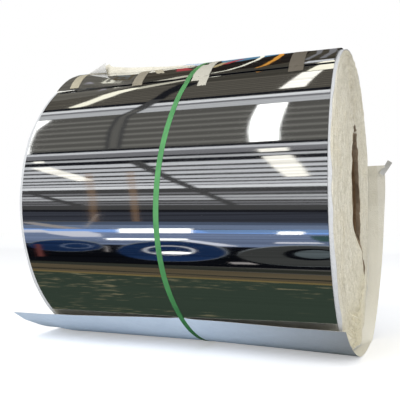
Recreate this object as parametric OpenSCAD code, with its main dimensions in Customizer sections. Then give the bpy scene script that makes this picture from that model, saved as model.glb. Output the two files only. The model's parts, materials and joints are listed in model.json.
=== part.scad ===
// Coil of mirror-finish stainless steel strip with paper interleaf, lying on its side.
// X runs along the coil's axis, Z is up and the origin is the middle of the bore.

/* [Steel strip] */
// Width of the strip, which is the length of the coil
strip_w = 1000; // [600:10:1250]
// Outside diameter of the wound steel
coil_d = 1040; // [800:10:1400]
// Thickness of the strip, which is the step where its outer end lies
strip_t = 1; // [0.5:0.1:2]
// Angle of the strip's outer end, from the front towards the top
tail_angle = 49.5; // [20:0.5:70]

/* [Turns on the ends] */
// Rings that show the turns on each steel end
turn_rings = 12; // [4:1:20]
// Width of the groove between two rings
turn_groove_w = 3; // [1:0.5:5]
// Depth of the groove between two rings
turn_groove_depth = 2; // [0.5:0.5:4]

/* [Core tube] */
// Bore of the cardboard core
core_bore_d = 508; // [400:2:610]
// Wall of the cardboard core
core_wall = 12; // [5:1:20]

/* [Interleaf paper] */
// How far the paper edges stick out of the left end
paper_out_left = 17; // [8:1:40]
// How far the paper edges stick out of the right end
paper_out_right = 22; // [8:1:40]
// Folds of paper edge from the core to the outside
paper_folds = 22; // [6:1:30]
// Depth of the valley between two folds
paper_fold_depth = 4; // [1:0.5:6]
// How far the paper stays inside the outermost turn of steel
paper_inset = 2; // [1:0.5:10]

/* [Wrap sheet] */
// Thickness of the sheet
sheet_t = 0.5; // [0.3:0.1:0.8]
// How far the sheet stands past the coil's left end at mid-height
sheet_left_over = 102; // [20:2:150]
// Lean of the sheet's left edge seen from the front
sheet_left_lean = 10.5; // [0:0.5:12]
// Turn of the sheet's left edge seen from above
sheet_left_turn = 1.4; // [0:0.2:4]
// How far the sheet stands past the coil's right end at mid-height
sheet_right_over = 57; // [40:1:120]
// Lean of the sheet's right edge seen from the front
sheet_right_lean = 1.3; // [0:0.1:3]
// Turn of the sheet's right edge seen from above
sheet_right_turn = 4.2; // [0:0.2:5]
// How far below the front the free edge lies
sheet_front_angle = 49; // [40:1:65]
// Rise of the free edge towards the right
sheet_front_rise = 1.1; // [0:0.1:2]
// Height of the sheet's upper edge at the right, over the coil's axis
sheet_back_z = 160; // [60:5:250]
// Angle of the lifted edge at the left, from the front towards the top
sheet_lift_angle = 74; // [72:1:80]
// Angle that the sheet reaches forward to beside the strap
sheet_tongue_angle = 63; // [60:1:70]
// How far left of the strap the edge starts to reach forward
sheet_tongue_run = 175; // [120:5:220]
// How far in from the right end of the coil the slanted edge runs out at the back
sheet_slant_in = 70; // [50:5:150]
// Height of the lifted edge at its peak
sheet_lift = 45; // [10:1:60]
// How far in from the left end of the coil the peak stands
sheet_peak_in = 76; // [50:2:120]

/* [Strap] */
// Width of the strap
strap_w = 18; // [10:1:25]
// Thickness of the strap
strap_t = 0.9; // [0.5:0.1:1.2]
// Place of the strap along the coil
strap_x = 58; // [40:1:70]
// Turn of the strap's plane seen from above
strap_turn = 7.4; // [5:0.1:9]
// Lean of the strap's plane seen from the front
strap_lean = 1.5; // [0:0.1:3]
// Length over which the strap's ends lie on each other
strap_weld = 40; // [25:5:60]
// Angle of the weld at the back, from the front over the top
strap_weld_angle = 165; // [150:1:175]

/* [Masking tapes] */
// Thickness of the tapes
tape_t = 0.25; // [0.1:0.05:0.3]
// How far in from the left end of the coil the corner tape lies
tape_left_in = 66; // [30:2:100]
// Width of the tape at the left corner
tape_left_w = 35; // [20:1:50]
// How far left of the strap the middle tape lies
tape_middle_out = 228; // [178:2:300]
// Width of the tape left of the strap
tape_middle_w = 44; // [20:1:50]
// How far left of the strap the torn bit of tape lies
tape_scrap_out = 163; // [154:1:174]
// Width of the torn bit of tape
tape_scrap_w = 26; // [10:1:30]
// Width of each of the two tapes beside the strap
tape_pair_w = 30; // [20:1:40]
// How far right of the strap the tape lies that passes over the sheet
tape_over_out = 27; // [24:1:60]
// How far in from the right end of the coil the right tape lies
tape_right_in = 114; // [60:2:200]
// Width of the tape at the right
tape_right_w = 46; // [20:1:50]

/* [Hidden] */
$fn = 180;

// How far a cut runs past the face that it cuts
cut_past = 1;

// Clearances between a thin piece and what carries it
sheet_gap = 0.05;
tape_gap = 0.05;
strap_gap = 0.05;

// How far behind the back of the coil the sheet's slanted edge would run out
sheet_slant_past = 80;

// The lifted edge: how far behind the cut it stands, how far past the coil's left end it starts
// and how far it runs on to the right of where the sheet starts to reach forward
lift_back = 1;
lift_past_end = 5;
lift_run_out = 60;

// Lower end of each tape, as an angle from the front towards the top, and its lean
tape_left_angle = 51.6;
tape_left_lean = 20;
tape_middle_angle = 49.3;
tape_middle_lean = 13;
tape_side_angle = 47.3;
tape_over_angle = 43.4;
tape_pair_lean = 4;
tape_pair_space = 1;
tape_scrap_angle = 58;
tape_scrap_lean = 30;
tape_scrap_under_angle = 4;
tape_right_angle = 46.6;
tape_right_lean = 3.5;

// Where a tape climbs onto the sheet and how far it runs on, in degrees round the coil
tape_climb_angle = 3;
tape_ramp_angle = 0.3;
tape_run_on_angle = 10;
tape_stop_angle = 0.6;

coil_r = coil_d / 2;
half_w = strip_w / 2;
core_r = core_bore_d / 2;
wound_r = core_r + core_wall;
lap_r = coil_r + strip_t / 2;
reach = 4 * coil_r;
ring_pitch = (coil_r - wound_r) / turn_rings;
paper_r = coil_r - paper_inset;
fold_pitch = (paper_r - wound_r) / paper_folds;

function mix(a, b, t) = a + (b - a) * t;

// Turns the X axis of what is drawn along Z into the coil's axis
module along_coil() rotate([0, 90, 0]) children();

// Keeps the half of a solid on the side of the axis above or below the strip's outer end
module half_space(side) {
    rotate([-tail_angle, 0, 0])
        translate([0, 0, side * reach / 2])
            cube(reach, center = true);
}

// Shifts a solid towards the strip's outer end, so that its last turn stands one strip proud there
module towards_tail() {
    translate([0, -cos(tail_angle) * strip_t / 2, sin(tail_angle) * strip_t / 2]) children();
}

// The wound steel outline: one plain half and one half that grows to the step
module wound_outline(length) {
    intersection() {
        along_coil() cylinder(r = coil_r, h = length, center = true);
        half_space(-1);
    }
    intersection() {
        towards_tail() along_coil() cylinder(r = lap_r, h = length, center = true);
        half_space(1);
    }
}

// One groove between two turns, cut into the end at the given side
module turn_groove(ring, side) {
    translate([side * half_w, 0, 0])
        along_coil()
            rotate_extrude()
                translate([wound_r + ring * ring_pitch, 0])
                    polygon([[-turn_groove_w / 2, 0], [0, -turn_groove_depth],
                             [turn_groove_w / 2, 0], [0, turn_groove_depth]]);
}

module steel_coil() {
    color([0.62, 0.64, 0.66])
        difference() {
            wound_outline(strip_w);
            along_coil() cylinder(r = wound_r, h = strip_w + 2 * cut_past, center = true);
            for (side = [-1, 1], ring = [1 : turn_rings - 1]) turn_groove(ring, side);
        }
}

// Height of one fold of paper edge: fuller in the middle of the end, with some folds longer
function fold_height(fold, out) =
    out * (0.9 + 0.2 * sin(180 * (fold + 0.5) / paper_folds)) + sin(fold * 97) * paper_fold_depth / 4;

// Paper edges as one turned solid, whose folds follow the turns
module interleaf(out) {
    color([0.85, 0.83, 0.76])
        rotate_extrude()
            polygon(concat(
                [[wound_r, 0], [wound_r, out - paper_fold_depth]],
                [for (fold = [0 : paper_folds - 1], crest = [1, 0])
                    let (r = wound_r + (fold + (crest == 1 ? 0.5 : 1)) * fold_pitch)
                    [r, crest == 1 ? fold_height(fold, out) : out - paper_fold_depth]],
                [[paper_r, 0]]));
}

module interleaf_left() translate([-half_w, 0, 0]) rotate([0, -90, 0]) interleaf(paper_out_left);

module interleaf_right() translate([half_w, 0, 0]) rotate([0, 90, 0]) interleaf(paper_out_right);

module core_tube() {
    color([0.42, 0.33, 0.24])
        along_coil()
            difference() {
                cylinder(r = wound_r, h = strip_w, center = true);
                cylinder(r = core_r, h = strip_w + 2 * cut_past, center = true);
            }
}

// Radius of the wound steel at an angle from the front towards the top
function wound_surface(angle) = coil_r + strip_t / 2 * (1 + cos(angle - tail_angle));

// The strap's place along the coil at an angle from the front towards the top
function strap_x_at(angle) =
    strap_x - tan(strap_turn) * cos(angle) * coil_r + tan(strap_lean) * sin(angle) * coil_r;

// A thin ring round the coil
module ring(inner, wall, length) {
    difference() {
        cylinder(r = inner + wall, h = length, center = true);
        cylinder(r = inner, h = length + 2 * cut_past, center = true);
    }
}

// The sheet where it hugs the coil, before its edges are cut
module sheet_shell() {
    towards_tail() along_coil() ring(lap_r + sheet_gap, sheet_t, 2 * strip_w);
}

// All that lies on one side of a skewed edge: side is 1 for the right of it and -1 for the left
module beside_edge(x, lean, turn, side) {
    translate([x, 0, 0])
        rotate([0, lean, -turn])
            translate([side * reach / 2, 0, 0])
                cube(reach, center = true);
}

// Where the sheet's edge starts forward to the strap, and where it meets the strap
tongue_x = strap_x_at(sheet_tongue_angle) - strap_w;
tongue_start_x = tongue_x - sheet_tongue_run;
tongue_y = -coil_r * cos(sheet_tongue_angle);
lift_y = -coil_r * cos(sheet_lift_angle);
slant_x = half_w - sheet_slant_in;
slant_y = coil_r + sheet_slant_past;
function slant_y_at(x) = tongue_y + (x - tongue_x) * (slant_y - tongue_y) / (slant_x - tongue_x);
function slant_angle_at(x) = acos(-slant_y_at(x) / (coil_r + sheet_t));

// What is cut away over the sheet's upper edge
module above_sheet() {
    translate([0, 0, sheet_back_z])
        linear_extrude(reach)
            polygon([[-reach, lift_y], [tongue_start_x, lift_y], [tongue_x, tongue_y],
                     [slant_x, slant_y], [reach, slant_y], [reach, -reach], [-reach, -reach]]);
}

// What is cut away over the sheet's free edge at the front
module before_sheet() {
    translate([0, -reach / 2, -coil_r * sin(sheet_front_angle)])
        rotate([0, -sheet_front_rise, 0])
            translate([0, 0, coil_r / 2])
                cube([reach, reach, coil_r], center = true);
    translate([0, -reach / 2, sheet_back_z])
        cube([reach, reach, coil_r / 2], center = true);
}

// The edge that stands up from the steel, left of the strap
lift_end_h = 0.45 * sheet_lift;
module lifted_edge() {
    foot = wound_surface(sheet_lift_angle) + sheet_gap + sheet_t / 2;
    rotate([90 - sheet_lift_angle, 0, 0])
        translate([0, lift_back + sheet_t, foot])
            rotate([90, 0, 0])
                linear_extrude(sheet_t)
                    polygon([[-half_w - lift_past_end, 0], [sheet_peak_in - half_w, sheet_lift],
                             [tongue_start_x, lift_end_h], [tongue_start_x + lift_run_out, 0]]);
}

module wrap_sheet() {
    color([0.72, 0.78, 0.84]) {
        difference() {
            sheet_shell();
            beside_edge(-half_w - sheet_left_over, sheet_left_lean, sheet_left_turn, -1);
            beside_edge(half_w + sheet_right_over, sheet_right_lean, sheet_right_turn, 1);
            above_sheet();
            before_sheet();
        }
        lifted_edge();
    }
}

// The strap's loop is a hair wider than the coil and lifted, so that it clears the step, the sheet
// and the tapes that it crosses. Its ends are welded together, one over the other.
strap_r = lap_r + sheet_gap + sheet_t + tape_gap + tape_t + strap_gap;
module strap() {
    weld_half_angle = strap_weld / strap_r * 90 / PI;
    color([0.28, 0.58, 0.34])
        intersection() {
            translate([0, 0, strip_t / 2]) {
                along_coil() ring(strap_r, strap_t, strip_w);
                intersection() {
                    along_coil() ring(strap_r + strap_t / 2, 1.5 * strap_t, strip_w);
                    wedge(strap_weld_angle - weld_half_angle, strap_weld_angle + weld_half_angle);
                }
            }
            translate([strap_x, 0, 0])
                rotate([0, strap_lean, -strap_turn])
                    cube([strap_w, reach, reach], center = true);
        }
}

// The wedge between two angles, measured from the front towards the top
module wedge(from, to) {
    steps = 4;
    along_coil()
        linear_extrude(2 * strip_w, center = true)
            polygon([[0, 0], for (step = [0 : steps]) let (angle = mix(from, to, step / steps))
                             -reach * [sin(angle), cos(angle)]]);
}

// A stretch of tape between two angles, at a height over the wound steel
module tape_stretch(height, thickness, from, to) {
    intersection() {
        towards_tail() along_coil() ring(lap_r + height, thickness, 2 * strip_w);
        wedge(from, to);
    }
}

// Cuts a tape's width out of its stretches, leaning from its place at the given angle
module tape_width(x, width, angle, lean) {
    intersection() {
        union() children();
        translate([x, 0, 0])
            rotate([90 - angle, 0, 0])
                rotate([0, 0, lean])
                    cube([width, reach, reach], center = true);
    }
}

// A tape that ends where the sheet begins
module tape_below_sheet(x, width, angle, lean, from, to) {
    color([0.78, 0.75, 0.66])
        tape_width(x, width, angle, lean) tape_stretch(tape_gap, tape_t, from, to);
}

// A tape that climbs onto the sheet and holds its edge down
module tape_over_sheet(x, width, from, lean) {
    high = sheet_gap + sheet_t + tape_gap;
    edge_guess = slant_angle_at(x - width / 2);
    edge = slant_angle_at(x - width / 2 - tan(lean) * coil_r * sin(edge_guess - from));
    climb = edge - tape_climb_angle;
    color([0.78, 0.75, 0.66])
        tape_width(x, width, from, lean) {
            tape_stretch(tape_gap, tape_t, from, climb);
            tape_stretch(tape_gap, high - tape_gap + tape_t, climb - tape_ramp_angle, climb);
            tape_stretch(high, tape_t, climb - tape_ramp_angle, edge + tape_run_on_angle);
        }
}

below_lift = sheet_lift_angle - tape_stop_angle;
below_tongue = sheet_tongue_angle - tape_stop_angle;

module tape_left() {
    tape_below_sheet(tape_left_in - half_w, tape_left_w, tape_left_angle, tape_left_lean,
                     tape_left_angle, below_lift);
}

module tape_middle() {
    tape_below_sheet(strap_x - tape_middle_out, tape_middle_w, tape_middle_angle, tape_middle_lean,
                     tape_middle_angle, below_lift);
}

// A torn bit of tape that hangs from under the sheet's edge
module tape_scrap() {
    tape_below_sheet(strap_x - tape_scrap_out, tape_scrap_w, tape_scrap_angle, tape_scrap_lean,
                     tape_scrap_angle, below_tongue + tape_scrap_under_angle);
}

tape_over_x = strap_x + tape_over_out;
module tape_strap_side() {
    tape_below_sheet(tape_over_x - tape_pair_w - tape_pair_space, tape_pair_w, tape_over_angle,
                     tape_pair_lean, tape_side_angle, below_tongue);
}

module tape_strap_over() tape_over_sheet(tape_over_x, tape_pair_w, tape_over_angle, tape_pair_lean);

module tape_right() tape_over_sheet(half_w - tape_right_in, tape_right_w, tape_right_angle, tape_right_lean);

steel_coil();
interleaf_left();
interleaf_right();
core_tube();
wrap_sheet();
strap();
tape_left();
tape_middle();
tape_scrap();
tape_strap_side();
tape_strap_over();
tape_right();
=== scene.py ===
"""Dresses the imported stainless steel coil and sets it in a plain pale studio.

Lengths are metres, apart from the reflection patches' millimetres, and angles are degrees. X runs along
the coil's axis and Z is up. An angle round the coil is measured from the front (-Y) towards the top, so
90 is the top and -90 is the bottom.
"""

import json
import math

import bpy
import numpy as np
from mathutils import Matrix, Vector


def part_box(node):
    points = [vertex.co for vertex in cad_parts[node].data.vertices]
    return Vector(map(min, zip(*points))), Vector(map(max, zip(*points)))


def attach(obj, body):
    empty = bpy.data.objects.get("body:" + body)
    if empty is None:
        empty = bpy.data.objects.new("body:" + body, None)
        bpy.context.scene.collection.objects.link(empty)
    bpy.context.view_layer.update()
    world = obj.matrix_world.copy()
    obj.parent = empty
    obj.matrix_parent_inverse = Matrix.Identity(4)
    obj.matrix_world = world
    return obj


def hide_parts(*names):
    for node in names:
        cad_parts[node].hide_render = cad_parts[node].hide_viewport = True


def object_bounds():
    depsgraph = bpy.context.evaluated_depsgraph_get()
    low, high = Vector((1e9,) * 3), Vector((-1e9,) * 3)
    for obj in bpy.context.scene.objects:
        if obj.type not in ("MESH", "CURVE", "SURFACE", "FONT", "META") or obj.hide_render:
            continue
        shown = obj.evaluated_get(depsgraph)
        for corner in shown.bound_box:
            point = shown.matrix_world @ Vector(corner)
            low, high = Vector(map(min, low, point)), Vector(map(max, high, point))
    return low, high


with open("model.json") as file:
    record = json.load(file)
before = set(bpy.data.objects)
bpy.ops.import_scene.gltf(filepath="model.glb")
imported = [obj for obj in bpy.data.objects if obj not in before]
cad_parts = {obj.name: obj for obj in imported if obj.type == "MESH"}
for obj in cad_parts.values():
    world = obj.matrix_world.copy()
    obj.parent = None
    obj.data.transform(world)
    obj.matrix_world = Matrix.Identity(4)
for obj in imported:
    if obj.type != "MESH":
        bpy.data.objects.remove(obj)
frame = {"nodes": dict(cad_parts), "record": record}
cad_box = [list(corner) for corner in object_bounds()]

# Sizes taken from the frame
steel_low, steel_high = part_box("steel_coil")
HALF_W = steel_high[0]
COIL_R = -steel_low[2]
WOUND_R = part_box("core_tube")[1][2]
BORE_R = frame["record"]["mounts"][0]["dims"]["r_mm"] / 1000
FLOOR_Z = cad_box[0][2]

# The strip's thickness, the angle at which it ends and the paper's outer radius
STRIP_T = 0.001
TAIL_ANGLE = 50.0
PAPER_R = COIL_R - 0.002

# The sheet laid flat, and how thick it and the tapes are and how far they lie from what is under them
SHEET_T = 0.0004
SHEET_GAP = 0.0002
TAPE_T = 0.00022
TAPE_GAP = 0.0003

# The photograph's camera
CAMERA_AT = (0.7055, -1.9785, -0.1094)
CAMERA_TILT = 0.0568
CAMERA_TURN = 0.3722
CAMERA_LENS = 48.67

# How far the loose outer turn stands off the coil, by place along the coil
LOOSE_ALONG = [
    (-0.50, 0.017), (-0.45, 0.0165), (-0.385, 0.013), (-0.30, 0.008), (-0.245, 0.0055), (-0.15, 0.005),
    (0.0, 0.005), (0.10, 0.006), (0.20, 0.0066), (0.30, 0.0062), (0.38, 0.0047), (0.50, 0.003)]

# The share of that by angle past the turn's end
LOOSE_PAST = [
    (0, 0.3), (4, 0.58), (8, 0.81), (12, 0.96), (16, 1.0), (28, 0.99), (45, 0.72), (70, 0.25), (90, 0.05),
    (110, 0.0), (360, 0.0)]

# The strap's route: places along the coil at angles from the front towards the top
STRAP_ROUTE = [
    (-90, 0.012), (-66, 0.0075), (-58, 0.0045), (-50, 0.0015), (-42, -0.0025), (-34, -0.0065), (-26, -0.009),
    (-18, -0.0097), (-10, -0.009), (-2, -0.006), (6, -0.002), (14, 0.003), (22, 0.0095), (30, 0.0155),
    (38, 0.020), (46, 0.025), (54, 0.0275), (62, 0.031), (70, 0.034), (80, 0.0345), (92, 0.035),
    (105, 0.042), (130, 0.066), (160, 0.088), (185, 0.092), (215, 0.075), (245, 0.04), (270, 0.012)]

# The sheet's upper edge left of the strap, where it leaves the steel, as angles along the coil
LEAVE_ROUTE = [
    (-0.65, 69.5), (-0.45, 68.6), (-0.371, 67.7), (-0.313, 66.5), (-0.259, 65.6), (-0.181, 64.7),
    (-0.065, 64.2), (0.023, 63.05)]

# How high the sheet's rim stands up from there
RIM_ROUTE = [
    (-0.65, 0.001), (-0.465, 0.001), (-0.450, 0.003), (-0.366, 0.039), (-0.357, 0.031), (-0.343, 0.0265),
    (-0.303, 0.0235), (-0.254, 0.0205), (-0.177, 0.0165), (-0.106, 0.0096), (-0.064, 0.0085), (0.0, 0.0045),
    (0.014, 0.0), (0.65, 0.0)]

# Angles of the sheet's free edge at the front, along the coil
FRONT_ROUTE = [
    (-0.75, -51.6), (-0.5, -50.4), (-0.25, -49.6), (0.0, -48.9), (0.25, -48.9), (0.5, -48.9), (0.65, -49.2)]

# How the sheet bellies out under the front, to the right of the strap, as a share by angle
BELLY = [(-300, 0.0), (-92, 0.0), (-88, 0.05), (-80, 0.5), (-74, 0.95), (-66, 1.0), (-58, 0.95), (-49, 0.75)]


def smooth(value):
    """Eases a share from 0 to 1."""
    value = np.clip(value, 0.0, 1.0)
    return value * value * (3 - 2 * value)


def bump_at(value, middle, half):
    """A soft hill of height 1 round a middle."""
    return np.exp(-(((value - middle) / half) ** 2))


def follow(value, points):
    """A smooth line through given points, read at value. It never swings past a point."""
    at, heights = np.array(sorted(points), float).T
    step = np.diff(at)
    rise = np.diff(heights) / step
    before, after = rise[:-1], rise[1:]
    same_way = before * after > 0
    inner = np.where(same_way, 2 * before * after / np.where(same_way, before + after, 1.0), 0.0)
    slopes = np.concatenate([rise[:1], inner, rise[-1:]])
    place = np.clip(np.searchsorted(at, value) - 1, 0, len(at) - 2)
    share = np.clip((value - at[place]) / step[place], 0.0, 1.0)
    s2, s3 = share**2, share**3
    return (
        (2 * s3 - 3 * s2 + 1) * heights[place]
        + (s3 - 2 * s2 + share) * step[place] * slopes[place]
        + (3 * s2 - 2 * s3) * heights[place + 1]
        + (s3 - s2) * step[place] * slopes[place + 1]
    )


def waves(seed, around, along, cells_around, cells_along):
    """Smooth random heights from -1 to 1. around and along run from 0 to 1, and around is a closed loop."""
    grid = np.random.default_rng(seed).uniform(-1, 1, (cells_around, cells_along + 2))
    u = np.mod(around, 1.0) * cells_around
    v = np.clip(along, 0.0, 1.0) * cells_along
    i, j = np.floor(u).astype(int), np.floor(v).astype(int)
    a, b = smooth(u - i), smooth(v - j)
    i, i_next = i % cells_around, (i + 1) % cells_around
    low = grid[i, j] * (1 - a) + grid[i_next, j] * a
    high = grid[i, j + 1] * (1 - a) + grid[i_next, j + 1] * a
    return low * (1 - b) + high * b


# Where the surfaces lie


def strap_x(angle):
    """The strap's place along the coil at an angle."""
    turned = np.mod(np.asarray(angle, float) + 90.0, 360.0) - 90.0
    return follow(turned, STRAP_ROUTE)


def wound_r(angle):
    """Radius of the wound steel: the last turn stands one strip proud at its outer end."""
    turned = np.mod(np.asarray(angle, float) - TAIL_ANGLE, 360.0)
    lap = STRIP_T / 2 * (1 + np.cos(np.radians(turned)))
    return COIL_R + np.where(turned < 180.0, lap, 0.0)


def steel_r(x, angle):
    """Radius of the steel's outside. Past its outer end the last turn stands off, most at the left."""
    x = np.clip(x, -HALF_W, HALF_W)
    angle = np.asarray(angle, float)
    past = np.mod(angle - TAIL_ANGLE, 360.0)
    share = (x + HALF_W) / (2 * HALF_W)
    ripple = 0.00009 * waves(3, past / 360.0, share, 9, 4)
    stand_off = follow(x, LOOSE_ALONG) * follow(past, LOOSE_PAST)
    near_strap = bump_at(x, strap_x(angle), 0.05)
    near_end = bump_at(past, 0.0, 34.0)
    wavy = 0.0005 * (1 + waves(11, past / 60.0, share, 4, 5)) * near_end * (1 - 0.7 * near_strap)
    return wound_r(angle) + ripple + stand_off + wavy


def all_round(count):
    """Angles in equal steps all round the coil."""
    return np.arange(count) * 360.0 / count


def around_coil(x, angle, radius):
    """Points at a radius round the coil's axis."""
    x, angle, radius = np.broadcast_arrays(x, np.radians(angle), radius)
    return np.stack([x, -radius * np.cos(angle), radius * np.sin(angle)], -1)


def sheet_left_x(y, z):
    return -HALF_W - 0.102 + y * math.tan(math.radians(1.4)) + z * math.tan(math.radians(10.5))


def sheet_right_x(y, z, angle):
    straight = HALF_W + 0.057 + y * math.tan(math.radians(4.2)) + z * math.tan(math.radians(1.3))
    return straight + 0.010 * bump_at(angle, -84.0, 18.0) + 0.006 * smooth((z + 0.1) / 0.2)


def sheet_upper_angle(x):
    """Angle of the sheet's upper edge, from the front over the top, at a place along the coil."""
    tongue_x, slant_x = LEAVE_ROUTE[-1][0], 0.430
    tongue_y = -COIL_R * math.cos(math.radians(63))
    slant_y = COIL_R + 0.08
    y = np.interp(x, [tongue_x, slant_x], [tongue_y, slant_y])
    reach = COIL_R + 0.001
    over_top = np.degrees(np.arccos(np.clip(-y / reach, -1.0, 1.0)))
    at_back = 180.0 - math.degrees(math.asin(0.172 / reach))
    return np.where(x < tongue_x, follow(x, LEAVE_ROUTE), np.minimum(over_top, at_back))


def sheet_front_angle(x):
    """Angle of the sheet's free edge at the front."""
    return follow(x, FRONT_ROUTE)


def sheet_height(x, angle):
    """How high the sheet's inner face stands over the steel. Its angles run from -49 down to -286."""
    from_front = np.radians(sheet_front_angle(x) - angle) * COIL_R
    along = (x + 0.70) / 1.32
    # The front edge stands off the steel, least beside the strap, and the sheet bellies at the right
    beside_strap = np.abs(x - strap_x(angle))
    stand_off = 0.0003 + 0.0032 * smooth(beside_strap / 0.05) + 0.0068 * smooth((beside_strap - 0.05) / 0.4)
    stand_off = stand_off * np.clip(1 - from_front / 0.17, 0.0, 1.0) ** 1.8
    belly = np.interp(x, [0.0, 0.55], [0.0, 0.0145]) * follow(angle, BELLY)
    height = (stand_off**4 + belly**4) ** 0.25
    # Past the ends of the coil nothing holds it, and it bellies out and curls
    past_right = np.clip(x - HALF_W, 0.0, 0.2)
    past_left = np.clip(-HALF_W - x, 0.0, 0.3)
    height += past_right * (0.10 * bump_at(angle, -168.0, 34.0) + 0.5 * bump_at(angle, -112.0, 16.0))
    bottom = bump_at(angle, -90.0, 24.0)
    height += past_left * 0.02 * (1 - bottom)
    loose = smooth(np.maximum(past_right, past_left) / 0.06)
    soft = 0.0022 * waves(31, angle / 360.0, along, 34, 3) + 0.0011 * waves(32, angle / 360.0, along, 90, 5)
    height += loose * (soft + 0.001) * (1 - 0.8 * bottom)
    # On the back it has soft hollows and a few raised creases
    back = smooth((-94.0 - angle) / 18.0) * smooth(beside_strap / 0.05)
    field = waves(34, angle / 360.0, along, 13, 5)
    height += back * 0.0020 * np.clip(1 - np.abs(field) / 0.2, 0.0, 1.0) ** 2
    height += back * 0.0007 * (1 + waves(35, angle / 360.0, along, 17, 6))
    hug = 0.0004 * (1 + waves(33, angle / 360.0, along, 26, 14)) * smooth((beside_strap - 0.01) / 0.05)
    from_upper = np.radians(angle - sheet_upper_angle(x) + 360.0) * COIL_R
    seated = np.where(x < 0.0, smooth((from_upper - 0.004) / 0.03), 1.0)
    return SHEET_GAP + (np.maximum(height, 0.0) + hug * (1 - bottom)) * seated


def sheet_r(x, angle):
    """Radius of the sheet's inner face. It stays above the floor, and its left end hangs in a little."""
    radius = steel_r(x, angle) + sheet_height(x, angle)
    radius -= 0.012 * smooth((-x - 0.53) / 0.15) * bump_at(angle, -68.0, 18.0)
    down = np.maximum(-np.sin(np.radians(angle)), 1e-3)
    return np.minimum(radius, (-FLOOR_Z - SHEET_GAP - SHEET_T) / down)


def lying_r(x, angle, ease):
    """Radius of the face that a strap or tape lies on: the steel, or the sheet where it covers the steel."""
    turned = np.mod(angle + 90.0, 360.0) - 90.0
    low = smooth((sheet_front_angle(x) + ease - turned) / ease)
    high = smooth((turned - sheet_upper_angle(x) + ease) / ease)
    on_sheet = np.maximum(low, high)
    steel = steel_r(x, angle)
    over = sheet_r(x, np.where(turned > 0.0, turned - 360.0, turned)) + SHEET_T - steel
    return steel + on_sheet * over


# Meshes


def make_mesh(name, points, faces, *finishes, smooth_faces=True, sides=None):
    """A mesh object from a list of points and faces. sides gives each face's place among the finishes."""
    mesh = bpy.data.meshes.new(name)
    mesh.from_pydata([tuple(p) for p in np.reshape(points, (-1, 3))], [], [tuple(f) for f in faces])
    mesh.polygons.foreach_set("use_smooth", [smooth_faces] * len(mesh.polygons))
    for finish in finishes:
        mesh.materials.append(finish)
    if sides is not None:
        mesh.polygons.foreach_set("material_index", sides)
    mesh.validate()
    mesh.update()
    if smooth_faces:
        mesh.set_sharp_from_angle(angle=math.radians(50))
    made = bpy.data.objects.new(name, mesh)
    bpy.context.scene.collection.objects.link(made)
    return made


def grid_faces(rows, columns, closed_rows=False, closed_columns=False, first=0, flip=False):
    """Quads of a grid of points that are numbered row by row."""
    row_steps = rows if closed_rows else rows - 1
    column_steps = columns if closed_columns else columns - 1
    i, j = np.meshgrid(np.arange(row_steps), np.arange(column_steps), indexing="ij")
    below, beside = (i + 1) % rows, (j + 1) % columns
    row, next_row = i * columns, below * columns
    quads = np.stack([row + j, next_row + j, next_row + beside, row + beside], -1).reshape(-1, 4) + first
    return quads[:, ::-1] if flip else quads


def thin_solid(name, outer, inner, *finishes):
    """A closed thin solid between two grids of points. Its inner face and edges have the last finish."""
    rows, columns = outer.shape[:2]
    count = rows * columns
    top = grid_faces(rows, columns)
    bottom = grid_faces(rows, columns, first=count, flip=True)
    number = np.arange(count).reshape(rows, columns)
    ring = np.concatenate([number[:, 0], number[-1, 1:], number[-2::-1, -1], number[0, -2:0:-1]])
    after = np.roll(ring, -1)
    edge = np.stack([after, ring, ring + count, after + count], -1)
    sides = [0] * len(top) + [len(finishes) - 1] * (len(bottom) + len(edge))
    return make_mesh(name, [outer, inner], [*top, *bottom, *edge], *finishes, sides=sides)


def ring_solid(name, grid, finish, flip=True):
    """A closed solid that runs all round the coil, from a grid of points with a row for each angle."""
    faces = grid_faces(*grid.shape[:2], closed_rows=True, closed_columns=True, flip=flip)
    return make_mesh(name, grid, faces, finish)


def surface_normals(grid):
    """Unit normals of a grid of points, on the side that looks away from the coil."""
    normal = np.cross(np.gradient(grid, axis=0), np.gradient(grid, axis=1))
    return normal / np.maximum(np.linalg.norm(normal, axis=-1, keepdims=True), 1e-12)


def join(keep, *others):
    """Joins meshes into the first."""
    bpy.ops.object.select_all(action="DESELECT")
    for each in (keep, *others):
        each.select_set(True)
    bpy.context.view_layer.objects.active = keep
    bpy.ops.object.join()


def enter(made, node=None):
    """Hides the solid that a finished piece stands for and puts the piece under the root body."""
    if node:
        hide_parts(node)
    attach(made, "root")
    return made


# Materials


def linear(red, green, blue):
    """A colour written as it looks on a screen, from 0 to 1, turned into light."""
    parts = [c / 12.92 if c <= 0.04045 else ((c + 0.055) / 1.055) ** 2.4 for c in (red, green, blue)]
    return (*parts, 1.0)


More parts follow.
